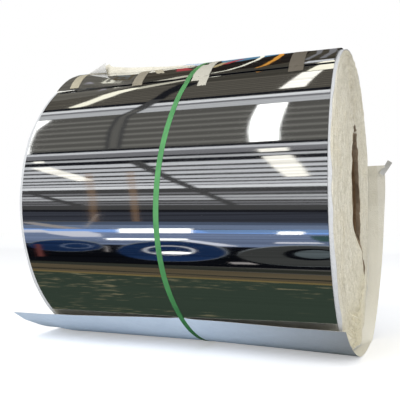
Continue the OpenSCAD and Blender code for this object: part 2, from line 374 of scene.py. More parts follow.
class Nodes:
    """Short calls that add nodes to a tree and give back one of their outputs."""

    def __init__(self, tree):
        self.tree = tree

    def put(self, socket, value):
        """Sets a socket to a value or to a colour of three parts, or joins it to another node's output."""
        if isinstance(value, bpy.types.NodeSocket):
            self.tree.links.new(value, socket)
        elif isinstance(value, tuple) and len(value) == 3:
            socket.default_value = linear(*value)
        else:
            socket.default_value = value

    def add(self, kind, *values, output=0, **settings):
        made = self.tree.nodes.new("ShaderNode" + kind)
        for key, value in settings.items():
            setattr(made, key, value)
        for place, value in values:
            self.put(made.inputs[place], value)
        return made.outputs[output]

    def math(self, operation, *values):
        return self.add("Math", *enumerate(values), operation=operation)

    def times(self, first, second):
        return self.math("MULTIPLY", first, second)

    def plus(self, first, second):
        return self.math("ADD", first, second)

    def between(self, value, low, high, out_low=0.0, out_high=1.0):
        ends = (("From Min", low), ("From Max", high), ("To Min", out_low), ("To Max", out_high))
        return self.add("MapRange", ("Value", value), *ends, output="Result")

    def seen(self):
        """1 for rays from the camera, a mirror or a see-through piece, and 0 for rays that carry light."""
        path = self.tree.nodes.new("ShaderNodeLightPath").outputs
        seen = self.math("MAXIMUM", path["Is Camera Ray"], path["Is Glossy Ray"])
        return self.math("MAXIMUM", seen, path["Is Transmission Ray"])


class Shader(Nodes):
    """A material with a Principled shader, and short calls for the patterns before it."""

    def __init__(self, name):
        self.material = bpy.data.materials.new(name)
        self.material.use_nodes = True
        super().__init__(self.material.node_tree)
        self.principled = self.tree.nodes["Principled BSDF"]
        self.place = self.add("TexCoord", output="Object")

    def vector(self, x, y, z):
        return self.add("CombineXYZ", *enumerate((x, y, z)))

    def scaled(self, scale, place=None):
        """The place stretched by a scale along X, Y and Z."""
        return self.add("VectorMath", (0, place or self.place), (1, Vector(scale)), operation="MULTIPLY")

    def noise(self, scale, detail=2.0, roughness=0.5, place=None):
        values = (("Scale", scale), ("Detail", detail), ("Roughness", roughness))
        return self.add("TexNoise", ("Vector", place or self.place), *values, output="Fac")

    def drawn(self, across, per_across, turn, per_turn, detail, roughness, shift=0.0):
        """Noise drawn out round the coil."""
        place = self.vector(self.times(across, per_across), self.times(turn, per_turn), shift)
        return self.noise(1.0, detail, roughness, place)

    def cell_edges(self, place):
        return self.add("TexVoronoi", ("Vector", place), output="Distance", feature="DISTANCE_TO_EDGE")

    def mix(self, share, first, second):
        ends = (("A", first), ("B", second))
        return self.add("Mix", ("Factor", share), *ends, output="Result", data_type="RGBA")

    def stain(self, color, value, low, high, share, tint):
        """Tints a colour by up to a share as a value goes from low to high."""
        return self.mix(self.between(value, low, high, 0.0, share), color, tint)

    def bump(self, height, strength, distance, before=None):
        values = [("Height", height), ("Strength", strength), ("Distance", distance)]
        if before is not None:
            values.append(("Normal", before))
        return self.add("Bump", *values, output="Normal")

    def coil_coordinates(self):
        """The place along the coil, the angle round it in half turns, and the distance from its axis."""
        split = self.tree.nodes.new("ShaderNodeSeparateXYZ")
        self.put(split.inputs[0], self.place)
        x, y, z = split.outputs
        angle = self.math("ARCTAN2", z, self.times(y, -1.0))
        squares = self.plus(self.math("POWER", y, 2.0), self.math("POWER", z, 2.0))
        return x, self.math("DIVIDE", angle, math.pi), self.math("SQRT", squares)

    def finish(self, color, roughness, metallic=0.0, normal=None):
        self.put(self.principled.inputs["Base Color"], color)
        self.put(self.principled.inputs["Roughness"], roughness)
        self.put(self.principled.inputs["Metallic"], metallic)
        if normal is not None:
            self.put(self.principled.inputs["Normal"], normal)
        return self.material

    def show(self, shader):
        self.put(self.tree.nodes["Material Output"].inputs["Surface"], shader)


def steel_finish():
    """Bright annealed strip: a mirror with faint lines in the rolling direction and a little dust."""
    s = Shader("bright_steel")
    x, turn, _ = s.coil_coordinates()
    rolling = s.drawn(x, 420.0, turn, 9.0, 3.0, 0.6)
    dust = s.between(s.noise(260.0, 4.0, 0.65), 0.62, 0.8, 0.0, 0.10)
    smears = s.between(s.noise(5.0, 3.0, 0.55), 0.45, 0.75, 0.035, 0.055)
    tint = s.mix(s.times(rolling, 0.35), (0.87, 0.875, 0.88), (0.83, 0.835, 0.845))
    return s.finish(tint, s.plus(dust, smears), 1.0, s.bump(rolling, 0.02, 0.0004))


def paper_edge_finish():
    """Edges of uncoated paper that stick out between the turns, packed together and scuffed, with painted
    light and shade at the foot, in the creases and in the bore.
    """
    s = Shader("paper_edges")
    _, turn, radius = s.coil_coordinates()
    rings = s.drawn(radius, 900.0, turn, 14.0, 4.0, 0.6)
    wide_rings = s.drawn(radius, 130.0, turn, 7.0, 3.0, 0.6, 4.0)
    stains = s.noise(9.0, 4.0, 0.6)
    blots = s.noise(70.0, 4.0, 0.65)
    color = s.mix(s.between(rings, 0.3, 0.7), (0.82, 0.80, 0.735), (0.925, 0.91, 0.86))
    color = s.stain(color, wide_rings, 0.45, 0.72, 0.45, (0.745, 0.715, 0.635))
    color = s.stain(color, stains, 0.5, 0.75, 0.35, (0.88, 0.84, 0.73))
    color = s.stain(color, s.noise(210.0, 3.0, 0.7), 0.5, 0.72, 0.5, (0.66, 0.64, 0.57))
    color = s.stain(color, blots, 0.5, 0.68, 0.4, (0.71, 0.69, 0.62))
    # Painted light: the foot of the end is painted paler to lift the shade that falls there, and its creases
    # there are painted dark as shade
    from_foot = s.math("ABSOLUTE", s.plus(turn, 0.5))
    color = s.stain(color, from_foot, 0.30, 0.08, 0.6, (0.955, 0.93, 0.835))
    shift = s.vector(s.times(blots, 0.03), s.times(stains, 0.04), 0.0)
    shifted = s.add("VectorMath", (0, s.place), (1, shift), operation="ADD")
    creases = s.cell_edges(s.scaled((15.0, 15.0, 11.0), shifted))
    # Painted shade: dark lines along the creases near the foot
    shown = s.times(s.between(creases, 0.0, 0.035, 0.75, 0.0), s.between(from_foot, 0.10, 0.26, 1.0, 0.0))
    color = s.mix(shown, color, (0.58, 0.54, 0.45))
    # The outermost layer is greyer, and the innermost ones are brown: partly torn board of the core and
    # partly painted shade in the bore
    color = s.stain(color, radius, PAPER_R - 0.0035, PAPER_R - 0.0015, 1.0, (0.755, 0.76, 0.765))
    inwards = s.plus(radius, s.times(blots, 0.003))
    color = s.stain(color, inwards, WOUND_R + 0.0035, WOUND_R + 0.0025, 0.85, (0.46, 0.37, 0.26))
    normal = s.bump(blots, 0.8, 0.005, s.bump(rings, 0.4, 0.0015))
    return s.finish(color, 0.9, 0.0, s.bump(s.noise(700.0, 5.0, 0.7), 0.3, 0.0006, normal))


def cardboard_finish():
    """Brown board wound in a spiral, with a seam between its strips."""
    s = Shader("wound_cardboard")
    x, turn, _ = s.coil_coordinates()
    pitch = 0.13
    spiral = s.math("FRACT", s.plus(s.math("DIVIDE", x, pitch), s.times(turn, 0.5)))
    seam = s.between(s.math("ABSOLUTE", s.plus(spiral, -0.5)), 0.0, 0.012, 1.0, 0.0)
    fibres = s.noise(60.0, 5.0, 0.65, s.scaled((0.25, 1.0, 1.0)))
    color = s.mix(s.between(fibres, 0.3, 0.7), (0.36, 0.27, 0.18), (0.50, 0.40, 0.28))
    color = s.mix(s.times(seam, 0.7), color, (0.2, 0.14, 0.09))
    height = s.math("SUBTRACT", s.times(fibres, 0.25), seam)
    return s.finish(color, 0.85, 0.0, s.bump(height, 0.4, 0.001))


def creased(s):
    """Heights of the soft creases in a big sheet of paper."""
    wide = s.noise(7.0, 3.0, 0.5)
    bent = s.vector(wide, s.noise(3.0), s.noise(4.0, place=s.scaled((1.0, 2.0, 1.0))))
    return s.plus(wide, s.times(s.cell_edges(s.scaled((9.0, 9.0, 9.0), bent)), 0.6))


def coated_finish():
    """The sheet's outside: paper with a pale blue coating, and painted shade that greys it towards the
    right.
    """
    s = Shader("coated_paper")
    x, _, _ = s.coil_coordinates()
    mottle = s.noise(4.0, 3.0, 0.55)
    fine = s.noise(55.0, 4.0, 0.6)
    color = s.mix(s.between(mottle, 0.3, 0.7), (0.76, 0.825, 0.905), (0.80, 0.86, 0.93))
    color = s.stain(color, fine, 0.5, 0.8, 0.15, (0.66, 0.71, 0.78))
    # Painted shade: greyer and darker towards the right, standing in for the dark reflection in the
    # semi-gloss coating
    color = s.stain(color, s.plus(x, s.times(mottle, 0.1)), 0.10, 0.58, 0.9, (0.50, 0.51, 0.52))
    rough = s.between(fine, 0.3, 0.7, 0.34, 0.46)
    return s.finish(color, rough, 0.0, s.bump(fine, 0.08, 0.0006, s.bump(creased(s), 0.35, 0.004)))


def cream_finish(name, low, high):
    """Uncoated paper, softly creased and a little soiled, with painted light on the right flap and low at
    the back.
    """
    s = Shader(name)
    x, turn, _ = s.coil_coordinates()
    color = s.mix(s.between(s.noise(6.0, 4.0, 0.6), 0.3, 0.7), low, high)
    color = s.stain(color, s.noise(17.0, 5.0, 0.65), 0.52, 0.75, 0.25, (0.70, 0.67, 0.60))
    # Painted light: the flap past the coil's right end is painted paler beyond a fold, where it turns to the
    # light, and the paper is painted paler low at the back to lift its shade
    color = s.stain(color, x, 0.568, 0.572, 0.4, (0.93, 0.92, 0.89))
    low_back = s.math("ABSOLUTE", s.plus(turn, 0.65))
    color = s.stain(color, low_back, 0.38, 0.20, 0.85, (0.96, 0.945, 0.89))
    normal = s.bump(creased(s), 0.6, 0.005)
    return s.finish(color, 0.88, 0.0, s.bump(s.noise(420.0, 5.0, 0.7), 0.2, 0.0004, normal))


def strap_finish():
    """Embossed green plastic, glossy, with painted shade that darkens it low down."""
    s = Shader("green_strap")
    x, turn, _ = s.coil_coordinates()
    emboss = 0.0022
    along = s.times(turn, math.pi * COIL_R / emboss)
    across = s.times(x, 1 / emboss)
    one, two = (s.math("SINE", s.times(s.math(way, along, across), math.pi)) for way in ("ADD", "SUBTRACT"))
    waffle = s.times(one, two)
    color = s.mix(s.between(s.noise(20.0, 3.0, 0.5), 0.3, 0.7), (0.275, 0.51, 0.31), (0.33, 0.585, 0.355))
    color = s.stain(color, waffle, 0.2, 1.0, 0.25, (0.46, 0.68, 0.46))
    # Painted shade: darker low down, where less light falls
    color = s.stain(color, turn, -0.04, -0.36, 0.75, (0.15, 0.40, 0.23))
    s.put(s.principled.inputs["IOR"], 1.5)
    return s.finish(color, 0.24, 0.0, s.bump(waffle, 0.35, 0.0004))


def tape_finish(name, pale, shade):
    """Creped masking tape: fine wrinkles across it, and patches painted darker for the steel's dark
    reflections showing through a little.
    """
    s = Shader(name)
    x, turn, _ = s.coil_coordinates()
    crepe = s.drawn(x, 190.0, turn, 2600.0, 4.0, 0.65)
    color = s.mix(s.between(crepe, 0.25, 0.75), shade, pale)
    # Painted reflection: patches darkened towards the shade tone, for the dark steel showing through
    color = s.stain(color, s.noise(45.0, 3.0, 0.6), 0.45, 0.75, 0.3, shade)
    return s.finish(color, 0.7, 0.0, s.bump(crepe, 0.5, 0.0006))


# The steel


def steel_piece():
    """The wound steel as a mirror: its outer turn and a third as one strip, round the turns inside."""
    loose = np.linspace(0.0, 90.0, 226)
    close = np.linspace(90.8, 360.0, 337)
    lapped = np.linspace(360.8, 475.0, 144)
    x, past = np.meshgrid(np.linspace(-HALF_W, HALF_W, 49), np.concatenate([loose, close, lapped]))
    tuck = 0.00012 * smooth((past - 360.0) / 20.0)
    under = COIL_R - STRIP_T / 2 * (1 - np.cos(np.radians(past))) - tuck
    outside = np.where(past < 360.0, steel_r(x, TAIL_ANGLE + past), under)
    outer = around_coil(x, TAIL_ANGLE + past, outside)
    inner = around_coil(x, TAIL_ANGLE + past, outside - STRIP_T)
    finish = steel_finish()
    made = thin_solid("mirror_coil", outer[::-1], inner[::-1], finish)
    # The turns inside, with their edges at the ends
    turns, groove = 12, 0.0012
    radii = np.linspace(COIL_R - 0.0021, WOUND_R + 0.0002, 2 * turns)
    dips = np.where(np.arange(2 * turns) % 2, groove, 0.0)
    radius = np.concatenate([radii[::-1], radii])
    place = np.concatenate([dips[::-1] - HALF_W, HALF_W - dips])
    join(made, ring_solid("coil_body", around_coil(place, all_round(240)[:, None], radius), finish))
    return enter(made, "steel_coil")


# The paper between the turns


def paper_out(side, radius, angle):
    """How far the paper edges stick out of an end at a radius and an angle round the coil."""
    share = (radius - WOUND_R) / (PAPER_R - WOUND_R)
    turn = angle / 360.0
    round_angle = np.mod(angle + 180.0, 360.0) - 180.0
    if side > 0:
        towards = smooth(0.5 + 0.5 * np.cos(np.radians(angle)))
        shares = [0.0, 0.3, 0.6, 0.85, 1.0]
        near = np.interp(share, shares, [0.037, 0.030, 0.025, 0.019, 0.013])
        far = np.interp(share, shares, [0.015, 0.020, 0.026, 0.031, 0.030])
        reach = far + (near - far) * towards
        upper_front = smooth((round_angle - 3) / 8) * smooth((80 - round_angle) / 25)
        reach -= 0.004 * upper_front * smooth((share - 0.78) / 0.22)
        bore_foot = smooth((-20 - round_angle) / 24) * smooth((round_angle + 150) / 40)
        reach += 0.023 * bore_foot * (1 - smooth(share / 0.8))
        crumple = bump_at(np.mod(angle + 80 + 180, 360) - 180, 0.0, 32.0) * smooth((share - 0.2) / 0.5)
        folds = 0.012 * waves(21, turn, share, 44, 5) + 0.006 * waves(26, turn, share, 110, 16)
        reach += crumple * folds
        seed, wide, middle, fine = 50, 0.0018, 0.0014, 0.0015
    else:
        reach = 0.017 - 0.003 * smooth((share - 0.7) / 0.3)
        seed, wide, middle, fine = 70, 0.0030, 0.0022, 0.0012
    reach += wide * waves(seed, turn, share, 7, 9)
    reach += middle * waves(seed + 1, turn, share, 17, 26)
    reach += fine * waves(seed + 2, turn, share, 46, 60)
    least = 0.006
    return np.maximum(reach, least)


def paper_piece(side):
    """Paper edges at one end: many thin layers side by side, some longer and some leaning over."""
    end = "right" if side > 0 else "left"
    layers = 64
    pitch = (PAPER_R - WOUND_R) / layers
    columns = [(WOUND_R, 0.0, 0)]
    for layer in range(layers):
        inner = WOUND_R + layer * pitch
        for across, height in ((0.12, 0.62), (0.5, 1.0), (0.88, 0.62)):
            columns.append((inner + across * pitch, height, layer))
    columns[-1] = (PAPER_R, 0.93, layers - 1)
    columns.append((PAPER_R, 0.0, layers - 1))
    radii, heights, numbers = (np.array(part, float) for part in zip(*columns))
    r, a = np.meshgrid(radii, all_round(420))
    height, layer = (np.broadcast_to(part, r.shape) for part in (heights, numbers))
    turn, layer_share = a / 360.0, layer / layers
    out = paper_out(side, r, a)
    seed = 90 if side > 0 else 110
    own = waves(seed, turn, layer_share, 60, layers)
    valley = 0.0032 + 0.0012 * waves(seed + 1, turn, layer_share, 30, layers)
    edge = out + 0.0016 * own - valley * (1 - height) / 0.38
    edge = np.where(height > 0, np.maximum(edge, 0.003), 0.0)
    lean = 0.0022 * waves(seed + 2, turn, layer_share, 22, 16) * np.where(height > 0.5, 1.0, 0.0)
    # The innermost layers are ragged and hang a little over the core's edge
    ragged = -0.0035 + 0.0035 * waves(seed + 3, turn, layer_share, 80, 3)
    ragged = ragged + 0.0022 * waves(seed + 4, turn, layer_share, 37, 3)
    ragged = ragged * smooth(1.5 - layer) * np.where(height > 0, 1.0, 0.0)
    r = np.clip(r + lean, WOUND_R - 0.002, PAPER_R) + ragged
    r = np.maximum(r, np.where(height > 0, BORE_R + 0.002, WOUND_R))
    grid = around_coil(side * (HALF_W + edge), a, r)
    made = ring_solid("paper_edges_" + end, grid, PAPER_EDGES, flip=side < 0)
    return enter(made, "interleaf_" + end)


# The wrap sheet


def sheet_piece():
    """The big sheet that wraps the coil's underside and back, with its folded corner."""
    rows, columns = 300, 129
    across = np.interp(np.linspace(0.0, 1.0, columns), [0.0, 0.30, 1.0], [0.0, 0.20, 1.0])
    down = np.linspace(0.0, 1.0, rows)
    down -= np.where(down < 0.5, 0.05, 0.07) * np.sin(2 * math.pi * down)
    v, u = np.meshgrid(across, down)
    x = -0.62 + 1.2 * v
    for _ in range(3):
        front = sheet_front_angle(x)
        angle = front + (sheet_upper_angle(x) - 360.0 - front) * u
        y = -COIL_R * np.cos(np.radians(angle))
        z = COIL_R * np.sin(np.radians(angle))
        left, right = sheet_left_x(y, z), sheet_right_x(y, z, angle)
        x = left + (right - left) * v
    inner = around_coil(x, angle, sheet_r(x, angle))
    inner = np.concatenate([inner, standing_rim(inner[-1], angle[-1])])
    outer = inner + surface_normals(inner) * SHEET_T
    made = thin_solid("wrap_paper", outer, inner, COATED, CREAM)
    join(made, folded_corner())
    enter(made, "wrap_sheet")
    return made


def standing_rim(edge, angle):
    """The sheet's upper edge, which stands up from the steel left of the strap."""
    turned = np.radians(angle)[:, None]
    forward = np.concatenate([0 * turned, np.sin(turned), np.cos(turned)], -1) * np.array([0.0, -1.0, -1.0])
    height = np.interp(edge[:, 0], *zip(*RIM_ROUTE))[:, None]
    ruffle = 0.0016 * waves(36, edge[:, 0] + 0.6, edge[:, 0] * 0, 23, 1)[:, None]
    rows = []
    for share in np.linspace(0.1, 1.0, 10):
        out = forward * 0.0012 * math.sin(share * math.pi / 2)
        up = np.array([0.0, 0.10 + 0.15 * share, 1.0]) * height * share
        bent = np.array([0.0, 1.0, 0.0]) * ruffle * share * np.minimum(height / 0.008, 1.0)
        rows.append(edge + out + up + bent)
    return np.stack(rows)


def folded_corner():
    """The sheet's upper left corner, bent forward over its own standing rim. Its front has a paler finish
    painted as the coating's sheen.
    """
    corners = ((-0.452, 68.0, 0.003), (-0.367, 67.4, 0.0385), (-0.366, 66.9, 0.0025))
    foot, peak, tip = (around_coil(x, angle, steel_r(x, angle) + up) for x, angle, up in corners)
    steps = 14
    share, down = np.meshgrid(np.linspace(0.0, 1.0, steps), np.linspace(0.0, 1.0, steps), indexing="ij")
    along = foot + (peak - foot) * share[..., None]
    end = foot + (tip - foot) * share[..., None]
    grid = along + (end - along) * down[..., None]
    bow = (0.0015 + 0.004 * np.sin(math.pi * down)) * share
    grid += np.array([0.0, -1.0, 0.15]) * bow[..., None]
    return thin_solid("folded_corner", grid, grid - np.array([0.0, -1.0, 0.3]) * SHEET_T, FOLD_PAINTED_SHEEN, CREAM)


# The strap


def strap_piece():
    """The strap as one closed band with soft edges, twice as thick where its ends are welded at the back."""
    width, thickness, gap = 0.018, 0.0009, 0.0002
    weld_at, weld_half, weld_ease = 165.0, 2.6, 0.4
    angles = all_round(720)
    profile = [
        (-0.5, 0.25), (-0.47, 0.85), (-0.40, 1.0), (-0.13, 1.04), (0.13, 1.04), (0.40, 1.0), (0.47, 0.85),
        (0.5, 0.25), (0.48, 0.0), (-0.48, 0.0)]
    across, up = np.array(profile).T
    place = strap_x(angles)
    slope = np.gradient(place, np.radians(angles) * COIL_R)
    slant = np.sqrt(1 + slope**2)
    # It's tight, so it bridges each step in what it lies on
    base = lying_r(place, angles, 1.0)
    base = np.max([np.roll(base, step) for step in range(-3, 4)], axis=0)
    base = np.mean([np.roll(base, step) for step in range(-3, 4)], axis=0) + gap
    weld = smooth((weld_half - np.abs(angles - weld_at)) / weld_ease)
    x = place[:, None] + across[None, :] * width * slant[:, None]
    r = base[:, None] + up[None, :] * thickness * (1 + weld[:, None])
    made = ring_solid("strap_band", around_coil(x, angles[:, None], r), strap_finish())
    return enter(made, "strap")


# The masking tapes


def tape_piece(name, node, x, width, low, high, lean, finish, seed, climbs=False, tear=0.0015):
    """A length of tape between two angles. It leans as it goes up and may climb onto the sheet."""
    rows, columns = max(24, int((high - low) * 3)), 13
    v, u = np.meshgrid(np.linspace(-0.5, 0.5, columns), np.linspace(0.0, 1.0, rows))
    ends = v[0] + 0.5
    torn_low = tear * (waves(seed, ends, ends * 0, 9, 1) + 0.6 * waves(seed + 1, ends, ends * 0, 17, 1))
    torn_high = tear * waves(seed + 2, ends, ends * 0, 9, 1)
    start = low + np.degrees(torn_low / COIL_R)
    end = high + np.degrees(torn_high / COIL_R)
    angle = start[None, :] + (end - start)[None, :] * u
    lean_run = math.tan(math.radians(lean)) * COIL_R * np.sin(np.radians(angle - low))
    place = x - lean_run + v * width / math.cos(math.radians(lean))
    place += 0.0006 * waves(seed + 3, u, v + 0.5, 30, 2)
    base = lying_r(place, angle, 3.0) if climbs else steel_r(place, angle)
    below = base + TAPE_GAP + 0.00012 * (1 + waves(seed + 4, u, v + 0.5, 60, 6))
    outer, inner = (around_coil(place, angle, radius)[::-1] for radius in (below + TAPE_T, below))
    return enter(thin_solid(name, outer, inner, finish), node)


def corner_tape():
    """A bit of tape stuck to the sheet's upper right corner and standing past it."""
    steps, columns, width, bow, thickness = 16, 7, 0.022, 0.008, 0.0003
    start = np.array([0.588, 0.497, 0.136])
    end = np.array([0.6255, 0.489, 0.190])
    run = np.linspace(0.0, 1.0, steps)[:, None, None]
    line = end - start
    side = np.array([line[2], 0.0, -line[0]]) * width / math.hypot(line[0], line[2])
    grid = start + line * run + side * np.linspace(-0.5, 0.5, columns)[None, :, None]
    grid += np.array([0.0, bow, 0.0]) * np.sin(math.pi * run)
    inner = grid + np.array([0.0, thickness, 0.0])
    return enter(thin_solid("tape_corner", grid, inner, TAPE_GLASSY))


def paper_under_tail():
    """A bit of paper that peeks out from under the steel's outer end and drops to the turn below."""
    columns, thickness, gap_below = 60, 0.0002, 0.0004
    x = np.linspace(-HALF_W + 0.002, -0.425, columns)
    share = (x - x[0]) / (x[-1] - x[0])
    peek = 0.0050 * (1 - smooth(share)) + 0.0006 * waves(41, share, share * 0, 7, 1) + 0.0004
    peek = np.maximum(peek, 0.0002)
    rows = []
    for past, gap in ((2.0, 0.0006), (1.0, 0.0006), (0.05, 0.0005)):
        angle = TAIL_ANGLE + past + 0 * x
        rows.append((angle, steel_r(x, angle) - STRIP_T - gap))
    foot = TAIL_ANGLE - np.degrees(peek / COIL_R)
    edge_angle, edge_r = rows[-1]
    for step in (0.25, 0.5, 0.75, 1.0):
        rows.append((edge_angle + (foot - edge_angle) * step, edge_r - 0.0012 * step**1.5))
    angle, radius = (np.array(part) for part in zip(*rows))
    radius = np.maximum(radius, COIL_R + gap_below)
    outer = around_coil(x, angle, radius)
    inner = around_coil(x, angle + 0.03, radius - thickness)
    return enter(thin_solid("paper_under_tail", outer, inner, PALE_PAPER))


# What the steel mirrors: cards on an arc round the coil that only reflections see
SCREEN_R = 8.0
SCREEN_HALF_L = 14.0
LAYER_STEP = 0.05
STEEL_TINT = 0.73
ARC_LOW, ARC_HIGH = -74.0, 71.5

# The tones of the cards as they should look in the steel, and how much streaks along the arc vary each
TONES = {
    "black": (0.10, 0.105, 0.12, 0),
    "dark": (0.25, 0.25, 0.25, 0),
    "roof_high": (0.255, 0.245, 0.22, 0.3),
    "roof": (0.335, 0.32, 0.29, 0.22),
    "roof_line": (0.265, 0.255, 0.235, 0),
    "top_left": (0.37, 0.36, 0.335, 0.45),
    "hook": (0.93, 0.92, 0.85, 0),
    "beam_light": (0.74, 0.725, 0.66, 0),
    "steel_blue": (0.42, 0.47, 0.50, 0.2),
    "plum": (0.56, 0.55, 0.57, 0),
    "top": (0.25, 0.235, 0.205, 0.6),
    "hall": (0.32, 0.315, 0.30, 0.08),
    "rib_soft": (0.355, 0.35, 0.335, 0),
    "rib": (0.425, 0.42, 0.40, 0),
    "girder": (0.84, 0.845, 0.85, 0.15),
    "girder_low": (0.67, 0.675, 0.68, 0.15),
    "mid": (0.44, 0.44, 0.45, 0.1),
    "pale": (0.75, 0.755, 0.765, 0.12),
    "slate": (0.20, 0.21, 0.24, 0.45),
    "dusk": (0.28, 0.32, 0.39, 0.15),
    "haze": (0.40, 0.45, 0.54, 0.15),
    "lavender": (0.40, 0.45, 0.55, 0.35),
    "sky": (0.47, 0.62, 0.86, 0),
    "sky_right": (0.42, 0.53, 0.68, 0),
    "pearl": (0.975, 0.96, 0.915, 0.25),
    "ash": (0.31, 0.34, 0.35, 0.4),
    "soot": (0.14, 0.125, 0.115, 0.5),
    "white": (1.0, 1.0, 0.985, 0),
    "cream": (0.945, 0.93, 0.85, 0),
    "navy": (0.09, 0.16, 0.28, 0.4),
    "night": (0.04, 0.045, 0.06, 0.6),
    "silver": (0.78, 0.79, 0.83, 0.2),
    "leaf": (0.21, 0.30, 0.30, 0),
    "thread": (0.56, 0.54, 0.53, 0),
    "rust": (0.36, 0.20, 0.19, 0),
    "iron": (0.215, 0.22, 0.215, 0.2),
    "rim": (0.47, 0.49, 0.50, 0),
    "olive": (0.17, 0.175, 0.155, 0.25),
    "brown": (0.325, 0.29, 0.225, 0.2),
    "gold": (0.43, 0.375, 0.24, 0),
    "green": (0.19, 0.232, 0.195, 0.06),
    "blue": (0.33, 0.48, 0.58, 0.3),
    "orange": (0.80, 0.56, 0.25, 0),
    "tan": (0.66, 0.60, 0.46, 0),
    "red": (0.62, 0.26, 0.28, 0),
    "faint": (0.66, 0.52, 0.38, 0),
}
STRENGTHS = {"pearl": 1.1, "white": 1.6, "cream": 1.1}
FLECKS = {"green": (0.44, 0.42, 0.33)}
SEE_THROUGH = {"faint": 0.72}


def card_finish(tone):
    """An even glow as it should look in the steel. It may have streaks or flecks, or be see-through."""
    s = Shader("card_" + tone)
    s.tree.nodes.remove(s.principled)

    def shown(color):
        return (*(part / STEEL_TINT * STRENGTHS.get(tone, 1.0) for part in linear(*color)[:3]), 1.0)

    *color, streaks = TONES[tone]
    color = shown(color)
    if tone in FLECKS:
        spots = s.between(s.noise(5.5, 4.0, 0.6, s.scaled((0.45, 1.0, 1.0))), 0.57, 0.63)
        clusters = s.between(s.noise(0.6, 2.0, 0.5, s.scaled((0.5, 1.0, 1.0))), 0.45, 0.58)
        color = s.mix(s.times(spots, clusters), color, shown(FLECKS[tone]))
    strength = 1.0
    if streaks:
        lines = s.noise(1.6, 3.0, 0.5, s.scaled((0.04, 3.2, 3.2)))
        strength = s.between(lines, 0.3, 0.7, 1 - streaks, 1 + streaks)
    shader = s.add("Emission", ("Color", color), ("Strength", strength))
    if tone in SEE_THROUGH:
        shader = s.add("MixShader", (0, SEE_THROUGH[tone]), (1, shader), (2, s.add("BsdfTransparent")))
    s.show(shader)
    s.material.cycles.emission_sampling = "NONE"
    return s.material


CARD_FINISHES = {tone: card_finish(tone) for tone in TONES}


def stage_card(tone, points, faces):
    """A card of one tone, which only reflections see."""
    made = make_mesh("card_" + tone, points, faces, CARD_FINISHES[tone], smooth_faces=False)
    made.visible_camera = False
    made.visible_diffuse = False
    made.visible_transmission = False
    made.visible_volume_scatter = False
    made.visible_shadow = False


def mirrored(x, angle, layer, loose=False):
    """The points on the arc whose image the camera sees in the steel, with its last turn loose or close."""
    x, angle = np.broadcast_arrays(x, angle)
    on_tail = (angle > TAIL_ANGLE) & loose

    def surface(x, angle):
        return around_coil(x, angle, np.where(on_tail, steel_r(x, angle), COIL_R))

    at = surface(x, angle)
    along = surface(x + 0.002, angle) - surface(x - 0.002, angle)
    normal = np.cross(along, surface(x, angle + 0.1) - surface(x, angle - 0.1))
    normal = normal / np.linalg.norm(normal, axis=-1, keepdims=True)
    normal = np.where(on_tail[..., None], normal, around_coil(0.0, angle, 1.0))
    ray = at - np.array(CAMERA_AT)
    ray -= 2 * (ray * normal).sum(-1, keepdims=True) * normal
    # How far along the mirrored ray the arc is
    a = (ray[..., 1:] ** 2).sum(-1)
    b = (ray[..., 1:] * at[..., 1:]).sum(-1)
    c = (at[..., 1:] ** 2).sum(-1) - (SCREEN_R - LAYER_STEP * layer) ** 2
    reach = (-b + np.sqrt(b * b - a * c)) / a
    return at + ray * reach[..., None]


def band(tone, top, bottom, layer=0, drop=None):
    """A card along the whole arc that shows in the steel between two angles. It drops to the right."""
    rows, columns = int((top - bottom) / 1.5) + 2, 9
    x, angle = np.meshgrid(np.linspace(-1.9, 3.0, columns), np.linspace(top, bottom, rows))
    drop = 1.5 + 0.015 * np.abs(angle) if drop is None else drop
    angle = np.clip(angle - drop * np.clip(x, -0.6, 0.6), ARC_LOW, ARC_HIGH)
    stage_card(tone, mirrored(x, angle, layer), grid_faces(rows, columns))


def patch(tone, *rows, layer=5):
    """A card whose image in the steel has its left and right edge, in millimetres, at each angle given."""
    angles, left, right = np.array(sorted(rows), float).T
    steps, columns = 6 * len(rows), 5
    angle = np.linspace(angles[0], angles[-1], steps)[:, None]
    left = np.interp(angle, angles, left / 1000)
    right = np.interp(angle, angles, right / 1000)
    x = left + (right - left) * np.linspace(0.0, 1.0, columns)
    stage_card(tone, mirrored(x, angle, layer, loose=True), grid_faces(steps, columns))


def oval(tone, x, angle, half_x, half_angle, hole, layer):
    """A ring-shaped card, or a full one where hole is 0. Its place and half length are millimetres."""
    steps = 48
    t, r = np.meshgrid(np.radians(all_round(steps)), [hole, 1.0], indexing="ij")
    x = (x + half_x * r * np.cos(t)) / 1000
    points = mirrored(x, angle + half_angle * r * np.sin(t), layer)
    stage_card(tone, points, grid_faces(steps, 2, closed_rows=True))


